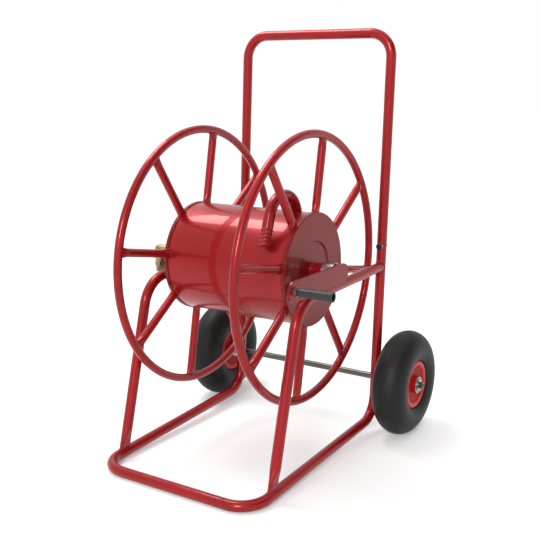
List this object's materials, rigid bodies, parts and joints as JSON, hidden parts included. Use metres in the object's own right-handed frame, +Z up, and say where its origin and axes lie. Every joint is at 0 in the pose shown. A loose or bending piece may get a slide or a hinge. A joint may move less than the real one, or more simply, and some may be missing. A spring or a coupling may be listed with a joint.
{
  "type": "garden hose reel cart",
  "caption": "Two-wheeled steel-tube cart with a spoked hose drum on a cross shaft, a side crank, a swivel water inlet and a push handle.",
  "frame": {"origin": "on the floor, centred between the front bar and the backs of the tyres and between the two wheels", "axes": "+X along the reel shaft towards the crank, +Y back towards the handle and wheels, +Z up"},
  "size_m": [0.646, 0.7275, 0.9875],
  "materials": {
    "red_paint": "high gloss red powder coat with a clear top coat",
    "tyre": "smooth satin black rubber",
    "bare_steel": "turned steel with a light film of oil",
    "zinc_steel": "bright zinc plated",
    "brass": "machined brass, slightly dulled",
    "black_plastic": "satin dark grey plastic",
    "black_rubber": "matte black rubber"
  },
  "bodies": {
    "frame": {"base_frame": "red_paint", "handle_hoop": "red_paint", "handle_sleeves": "bare_steel", "handle_bolts": "zinc_steel", "handle_washers": "zinc_steel", "handle_nuts": "zinc_steel", "wheel_axle": "bare_steel", "axle_washers": "zinc_steel", "axle_spacers": "bare_steel", "split_pins": "zinc_steel", "left_leg": "red_paint", "right_leg": "red_paint", "left_saddle": "red_paint", "right_saddle": "red_paint", "left_bearing": "bare_steel", "right_bearing": "bare_steel"},
    "reel": {"drum_shell": "red_paint", "reel_shaft": "red_paint", "left_journal": "bare_steel", "right_journal": "bare_steel", "outlet_pipe": "red_paint", "hose_tail": "red_paint", "crank_boss": "red_paint", "crank_arm": "red_paint", "crank_pin": "zinc_steel", "pin_nuts": "zinc_steel", "left_end_disc": "red_paint", "right_end_disc": "red_paint", "left_hoop": "red_paint", "right_hoop": "red_paint", "left_spokes": "red_paint", "right_spokes": "red_paint"},
    "grip": {"crank_grip": "black_plastic"},
    "inlet": {"inlet_elbow": "brass", "inlet_gland": "brass", "inlet_seal": "black_rubber"},
    "left_wheel": {"left_tyre": "tyre", "left_rim_outer": "red_paint", "left_rim_inner": "red_paint", "left_hub": "red_paint", "left_wheel_bearings": "bare_steel", "left_valve": "black_rubber"},
    "right_wheel": {"right_tyre": "tyre", "right_rim_outer": "red_paint", "right_rim_inner": "red_paint", "right_hub": "red_paint", "right_wheel_bearings": "bare_steel", "right_valve": "black_rubber"}
  },
  "joints": [
    {"name": "reel_spin", "type": "hinge", "parent": "frame", "child": "reel", "pos_m": [0, -0.036, 0.451], "axis": [1, 0, 0], "continuous": true},
    {"name": "grip_spin", "type": "hinge", "parent": "reel", "child": "grip", "pos_m": [0.282, -0.243, 0.451], "axis": [1, 0, 0], "continuous": true},
    {"name": "inlet_swivel", "type": "hinge", "parent": "reel", "child": "inlet", "pos_m": [-0.25, -0.036, 0.451], "axis": [1, 0, 0], "continuous": true},
    {"name": "left_wheel_spin", "type": "hinge", "parent": "frame", "child": "left_wheel", "pos_m": [-0.2735, 0.23377, 0.13], "axis": [1, 0, 0], "continuous": true},
    {"name": "right_wheel_spin", "type": "hinge", "parent": "frame", "child": "right_wheel", "pos_m": [0.2735, 0.23377, 0.13], "axis": [1, 0, 0], "continuous": true}
  ]
}
